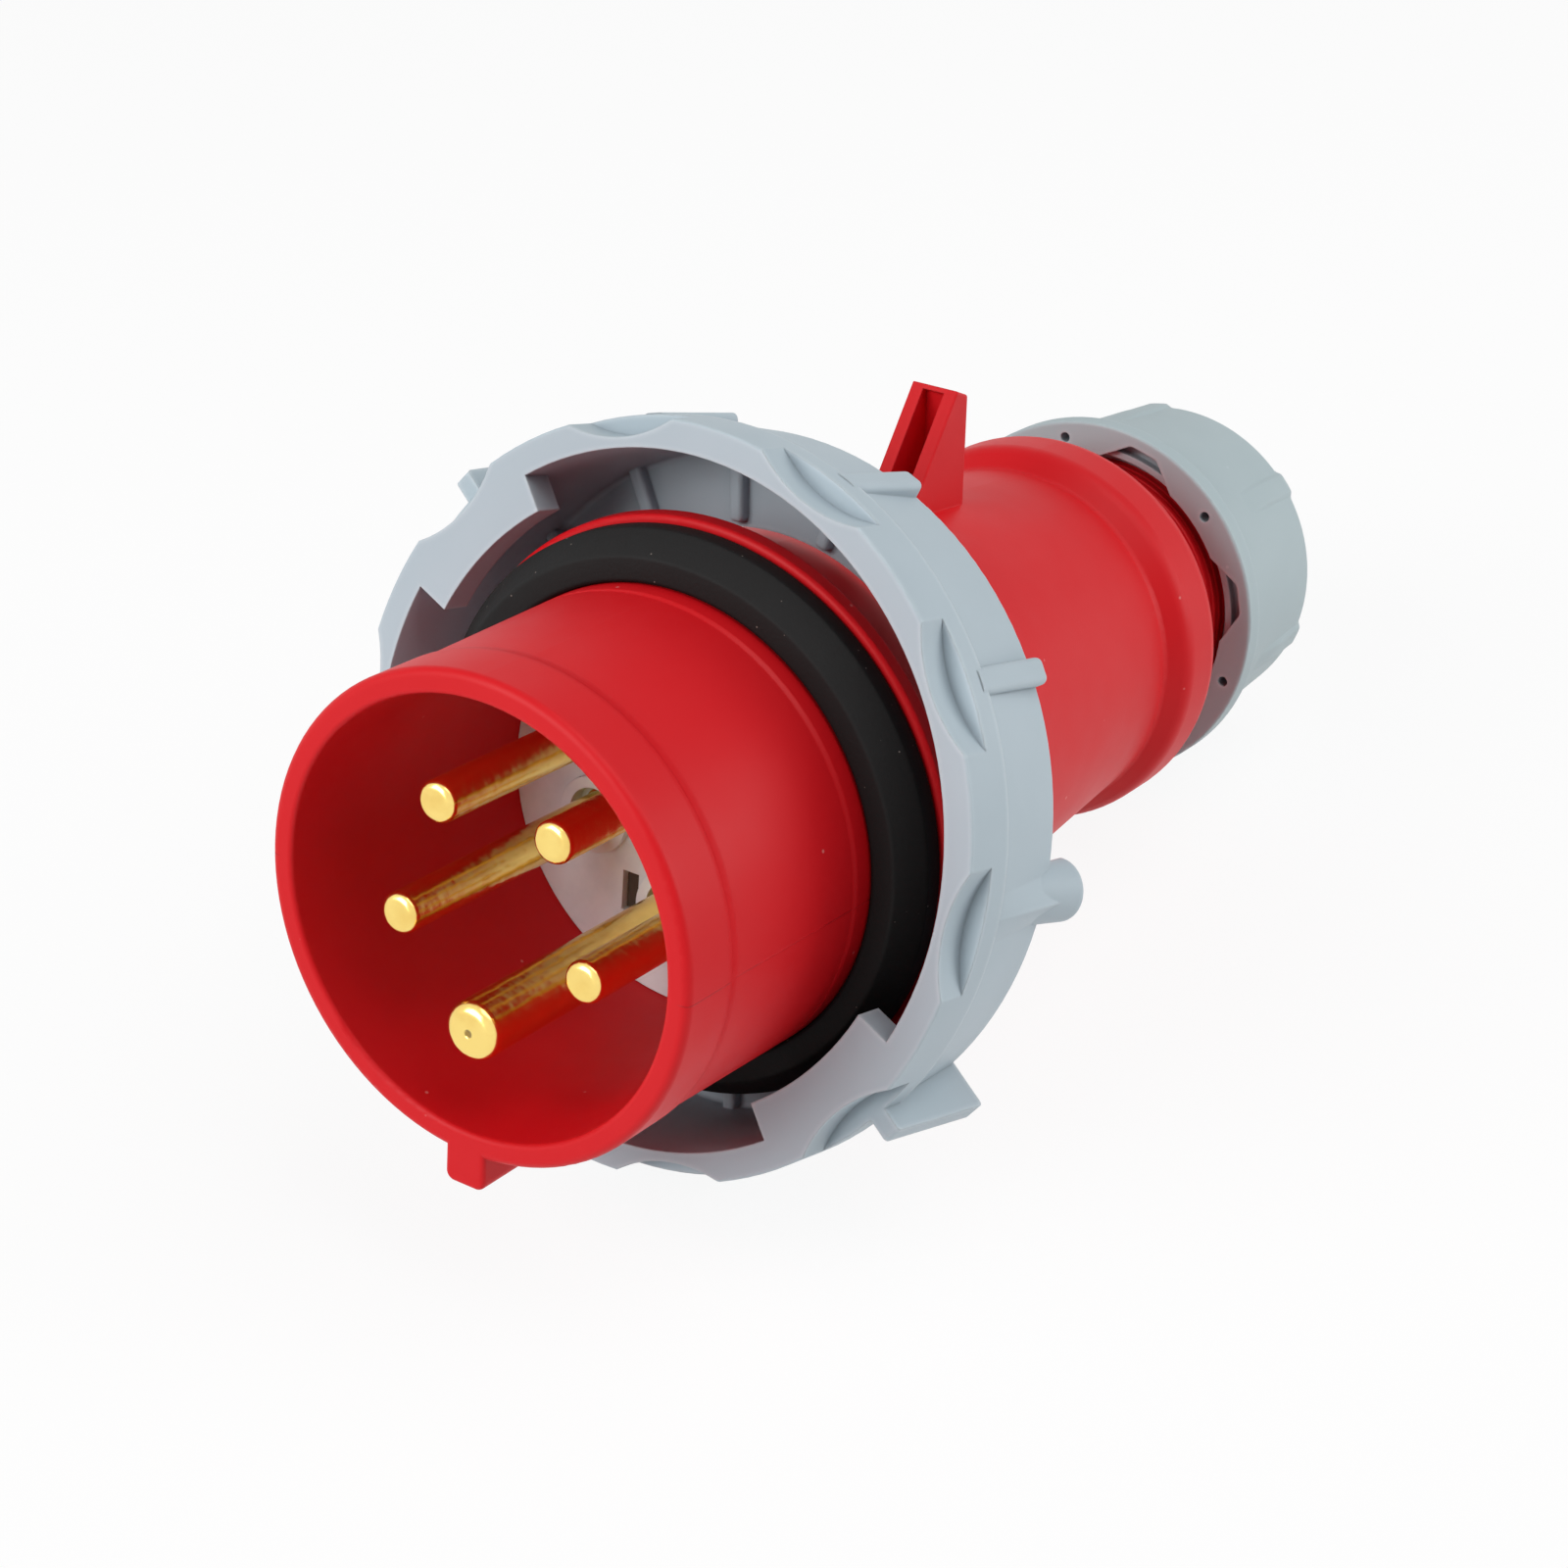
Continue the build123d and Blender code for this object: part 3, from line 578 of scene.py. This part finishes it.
class Shape(Graph):
    """A geometry tree with named inputs for its sizes."""

    def __init__(self, name, sizes):
        super().__init__(bpy.data.node_groups.new(name, "GeometryNodeTree"))
        self.sizes = sizes
        face = self.tree.interface
        face.new_socket("Geometry", in_out="INPUT", socket_type="NodeSocketGeometry")
        face.new_socket("Geometry", in_out="OUTPUT", socket_type="NodeSocketGeometry")
        for key, value in sizes.items():
            kind = "NodeSocketInt" if isinstance(value, int) else "NodeSocketFloat"
            face.new_socket(key, in_out="INPUT", socket_type=kind)
        self.entry = self.tree.nodes.new("NodeGroupInput")

    def given(self, name):
        """One of the tree's own inputs."""
        return Wire(self, self.entry.outputs[name])

    def end(self, geometry, material):
        """Every tree ends in real meshes that carry their material."""
        real = self.node("GeometryNodeRealizeInstances", {}, {0: geometry})
        inputs = {"Geometry": real, "Material": material}
        dressed = self.node("GeometryNodeSetMaterial", {}, inputs)
        self.node("NodeGroupOutput", {}, {0: dressed})

    def grow(self, name, source):
        """Run the tree on a source mesh, and give the result as a plain object."""
        seed = bpy.data.objects.new(name + "_seed", source)
        bpy.context.scene.collection.objects.link(seed)
        modifier = seed.modifiers.new("growth", "NODES")
        modifier.node_group = self.tree
        for item in self.tree.interface.items_tree:
            if item.in_out == "INPUT" and item.name in self.sizes:
                modifier[item.identifier] = self.sizes[item.name]
        grown = seed.evaluated_get(bpy.context.evaluated_depsgraph_get())
        mesh = bpy.data.meshes.new_from_object(grown)
        bpy.data.objects.remove(seed)
        mesh.name = name
        return self.tidied(name, mesh)

    def tidied(self, name, mesh):
        """Merge what meets, turn the faces outwards and lay the mesh in its place."""
        shell = bmesh.new()
        shell.from_mesh(mesh)
        bmesh.ops.remove_doubles(shell, verts=shell.verts, dist=merge_distance)
        bmesh.ops.recalc_face_normals(shell, faces=shell.faces)
        bmesh.ops.transform(shell, matrix=from_plug, verts=shell.verts)
        for face in shell.faces:
            face.smooth = True
        loose = sum(1 for edge in shell.edges if not edge.is_manifold)
        shell.to_mesh(mesh)
        shell.free()
        mesh.set_sharp_from_angle(angle=sharp_from)
        thing = bpy.data.objects.new(name, mesh)
        bpy.context.scene.collection.objects.link(thing)
        print(name, "faces", len(mesh.polygons), "open edges", loose)
        return thing


# %% [markdown]
# The face gasket is a rubber ring, moulded with a flat front and a bevel round it. In a
# turned shape one outline is enough, so its five corners are listed and each one is
# softened by an arc. The outline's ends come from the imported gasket.

# %% Gasket outline
gasket_front, gasket_rear, gasket_inner, gasket_outer = spans("face_gasket")
gasket_bevel = 0.0032
gasket_bevel_drop = 0.0026
gasket_round = 0.0006
round_steps = 6
gasket_corners = [
    (gasket_front, gasket_inner),
    (gasket_front, gasket_outer - gasket_bevel_drop),
    (gasket_front + gasket_bevel, gasket_outer),
    (gasket_rear, gasket_outer),
    (gasket_rear, gasket_inner),
]


def rounded_outline(corners, roundness):
    """A closed outline of (station, radius) corners, each softened by an arc."""
    points = []
    for i, corner in enumerate(corners):
        here = Vector(corner)
        back = (Vector(corners[i - 1]) - here).normalized()
        ahead = (Vector(corners[(i + 1) % len(corners)]) - here).normalized()
        half = back.angle(ahead) / 2
        reach = roundness / tan(half)
        centre = here + (back + ahead).normalized() * (roundness / sin(half))
        start = (here + back * reach - centre).normalized()
        finish = (here + ahead * reach - centre).normalized()
        for step in range(round_steps + 1):
            points.append(centre + start.slerp(finish, step / round_steps) * roundness)
    return points


gasket_points = rounded_outline(gasket_corners, gasket_round)
gasket_points.append(gasket_points[0])
gasket_outline = bpy.data.meshes.new("gasket_outline")
gasket_outline.from_pydata([(point[0], 0.0, point[1]) for point in gasket_points], [], [])
print("gasket outline", len(gasket_points), "points")

# %% [markdown]
# The tree lays a grid of points, finds the outline's point for each row, and swings it
# round the axis by the column's share of a full turn. A lathe in a modelling program does
# the same. The rubber is never quite even, so a noise wavers the radius by a few hundredths
# of a millimetre, which a plain Screw modifier couldn't do.

# %% Gasket, turned from its outline
gasket_turns = 256
turning = Shape("turned_ring", {
    "Outline Points": len(gasket_points), "Turns": gasket_turns + 1,
    "Waver": 0.00004, "Waver Size": 0.006,
})
turn_count = turning.given("Turns")
grid = turning.node("GeometryNodeMeshGrid", {}, {
    "Size X": 1.0, "Size Y": 1.0,
    "Vertices X": turning.given("Outline Points"), "Vertices Y": turn_count,
})
index = turning.node("GeometryNodeInputIndex")
row = turning.math("FLOOR", (index + 0.5) / turn_count)
column = index - row * turn_count
outline = turning.node("GeometryNodeSampleIndex", {"data_type": "FLOAT_VECTOR"}, {
    "Geometry": turning.given("Geometry"), "Index": row,
    "Value": turning.node("GeometryNodeInputPosition"),
})
station, _, radius = turning.split(outline)
angle = column * (2 * pi) / (turn_count - 1)
across = turning.math("SINE", angle)
above = turning.math("COSINE", angle)
lumps = turning.node("ShaderNodeTexNoise", {}, {
    "Vector": turning.join(station, across * radius, above * radius),
    "Scale": 1.0 / turning.given("Waver Size"), "Detail": 1.0,
}, "Fac")
uneven = radius - turning.ease(lumps, 0.4, 0.9) * turning.given("Waver")
turned = turning.node("GeometryNodeSetPosition", {}, {
    "Geometry": grid, "Position": turning.join(station, across * uneven, above * uneven),
})
turning.end(turned, rubber)
gasket = turning.grow("gasket_ring", gasket_outline)
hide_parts("face_gasket")
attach(gasket, "plug")

# %% [markdown]
# The gland nut is gripped by six soft ribs. Each one is a low pillow that fades into the
# barrel towards the front and is highest at the rear edge. One rib is shaped from a box of
# points: only its top face rises, by a rule of the distance along and across. The tree then
# puts that rib on each corner of a six-sided ring.

# %% Grip ribs round the nut
nut_rear = spans("gland_nut")[1]
rib_setback = 0.00055
rib_flat_share = 0.55
rib_run_in = 0.6
ribs = Shape("grip_ribs", {
    "Ribs": 6, "First Clock": radians(48.0), "Rear": nut_rear - rib_setback,
    "Length": 0.017, "Width": 0.0046, "Rise": 0.00048, "Sink": 0.00008, "Root": 0.0012,
    "Barrel Radius": 0.0222, "Draft": 0.0638, "Steps Along": 24, "Steps Across": 17,
})
rib_box = ribs.node("GeometryNodeMeshCube", {}, {
    "Size": (1, 1, 1), "Vertices X": ribs.given("Steps Along"),
    "Vertices Y": ribs.given("Steps Across"), "Vertices Z": 2,
})
along, aside, top = ribs.split(ribs.node("GeometryNodeInputPosition"))
from_rear = (0.5 - along) * ribs.given("Length")
barrel = ribs.given("Barrel Radius") + from_rear * ribs.given("Draft")
offset = aside * ribs.given("Width")
surface = ribs.math("SQRT", barrel * barrel - offset * offset)
pillow = 1.0 - ribs.ease(ribs.math("ABSOLUTE", aside) * 2, rib_flat_share, 1.0)
swell = pillow * ribs.ease(along + 0.5, 0.0, rib_run_in)
crest = surface - ribs.given("Sink") + (ribs.given("Rise") + ribs.given("Sink")) * swell
is_top = ribs.math("GREATER_THAN", top, 0.0)
height = crest * is_top + (surface - ribs.given("Root")) * (1.0 - is_top)
rib = ribs.node("GeometryNodeSetPosition", {}, {
    "Geometry": rib_box, "Position": ribs.join(ribs.given("Rear") - from_rear, offset, height),
})
places = ribs.node("GeometryNodeMeshLine", {}, {"Count": ribs.given("Ribs"), "Offset": (0, 0, 0)})
pitch = 2 * pi / ribs.given("Ribs")
turn = ribs.given("First Clock") + ribs.node("GeometryNodeInputIndex") * pitch
standing = ribs.node("GeometryNodeInstanceOnPoints", {}, {
    "Points": places, "Instance": rib, "Rotation": ribs.join(turn, 0.0, 0.0),
})
ribs.end(standing, nut_plastic)
nut_ribs = ribs.grow("nut_ribs", bpy.data.meshes.new("nut_ribs_seed"))
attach(nut_ribs, "nut")

# %% [markdown]
# The nut screws onto a moulded thread on the housing's neck, which shows in the gap in
# front of the nut. A spiral curve is its path, a small circle is its section, and together
# they make the ridge. Most of the circle is sunk in the neck. What stands out stays within
# the nut's running gap, so that the nut can travel over it.

# %% Thread on the neck
thread = Shape("neck_thread", {
    "Neck Radius": 0.0197, "Start": 0.1332, "Length": 0.0135, "Pitch": 0.0015,
    "Ridge Radius": 0.0005, "Sink": 0.00035, "Steps": 96, "Sides": 10,
})
wind_radius = thread.given("Neck Radius") - thread.given("Sink")
spiral = thread.node("GeometryNodeCurveSpiral", {}, {
    "Resolution": thread.given("Steps"), "Height": thread.given("Length"),
    "Rotations": thread.given("Length") / thread.given("Pitch"),
    "Start Radius": wind_radius, "End Radius": wind_radius,
})
section = thread.node("GeometryNodeCurvePrimitiveCircle", {}, {
    "Resolution": thread.given("Sides"), "Radius": thread.given("Ridge Radius"),
})
ridge = thread.node("GeometryNodeCurveToMesh", {}, {
    "Curve": spiral, "Profile Curve": section, "Fill Caps": True,
})
laid = thread.node("GeometryNodeTransform", {}, {
    "Geometry": ridge, "Rotation": (0, radians(90.0), 0),
    "Translation": thread.join(thread.given("Start"), 0.0, 0.0),
})
thread.end(laid, red_plastic)
neck_thread = thread.grow("neck_thread", bpy.data.meshes.new("neck_thread_seed"))
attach(neck_thread, "plug")

# %% [markdown]
# The stage is a wide pale floor under a white sky. Where the camera or a reflection looks,
# both are nearly white by the light path, so the background stays pale at any lamp power.
# The light that falls on the plug comes from the lamps, and the floor keeps a share of its
# own paper, which holds the plug's shadow.

# %% Floor and sky
floor_size = 3.0
paper_white = (0.9, 0.9, 0.9, 1.0)
paper_glow = 0.9
sky_white = (1.0, 1.0, 1.0, 1.0)
sky_fill = 0.12

floor_corners = [(-1, -1), (1, -1), (1, 1), (-1, 1)]
floor_points = [(x * floor_size, y * floor_size, 0.0) for x, y in floor_corners]
floor_mesh = bpy.data.meshes.new("floor")
floor_mesh.from_pydata(floor_points, [], [(0, 1, 2, 3)])
floor = bpy.data.objects.new("floor", floor_mesh)
bpy.context.scene.collection.objects.link(floor)
floor_shader = Shader("floor_paper")
paper = floor_shader.node("ShaderNodeBsdfDiffuse", {}, {"Color": paper_white})
glow = floor_shader.node("ShaderNodeEmission", {}, {"Color": sky_white, "Strength": 1.0})
share = floor_shader.seen() * paper_glow
both = floor_shader.node("ShaderNodeMixShader", {}, {0: share, 1: paper, 2: glow})
floor_shader.node("ShaderNodeOutputMaterial", {}, {"Surface": both})
floor_mesh.materials.append(floor_shader.material)

world = bpy.data.worlds.new("sky")
world.use_nodes = True
sky = Graph(world.node_tree)
dim = sky.node("ShaderNodeBackground", {}, {"Color": sky_white, "Strength": sky_fill})
white = sky.node("ShaderNodeBackground", {}, {"Color": sky_white, "Strength": 1.0})
either = sky.node("ShaderNodeMixShader", {}, {0: sky.seen(), 1: dim, 2: white})
sky.node("ShaderNodeOutputWorld", {}, {"Surface": either})
bpy.context.scene.world = world
print("floor", 2 * floor_size, "m wide, fill from the sky", sky_fill)

# %% [markdown]
# Three soft square lamps light the plug, as in a small product studio. A large one hangs
# above it, one stands low behind it on its near side, and one is in front of the collar,
# above and to its far side. That last one leaves the deep left of the collar dark
# and throws the collar's soft shadow onto the ring, as the photograph shows.

# %% Lamps
def lamp(name, place, target, size, power):
    """A soft square lamp that points at the plug."""
    data = bpy.data.lights.new(name, "AREA")
    data.shape = "SQUARE"
    data.size = size
    data.energy = power
    thing = bpy.data.objects.new(name, data)
    bpy.context.scene.collection.objects.link(thing)
    thing.location = place
    thing.rotation_mode = "QUATERNION"
    thing.rotation_quaternion = (Vector(target) - Vector(place)).to_track_quat("-Z", "Y")
    print(name, [round(w, 2) for w in place], power, "W")


lamp("top_lamp", (0.1, -0.35, 1.0), (0, 0, 0.04), 0.8, 5.0)
lamp("side_lamp", (0.62, -0.85, 0.38), (0.02, 0, 0.04), 0.6, 4.4)
lamp("front_lamp", in_plug(-0.88, 0.32, 0.40), rim_centre, 0.75, 8.8)

bpy.context.scene.view_settings.view_transform = "Standard"
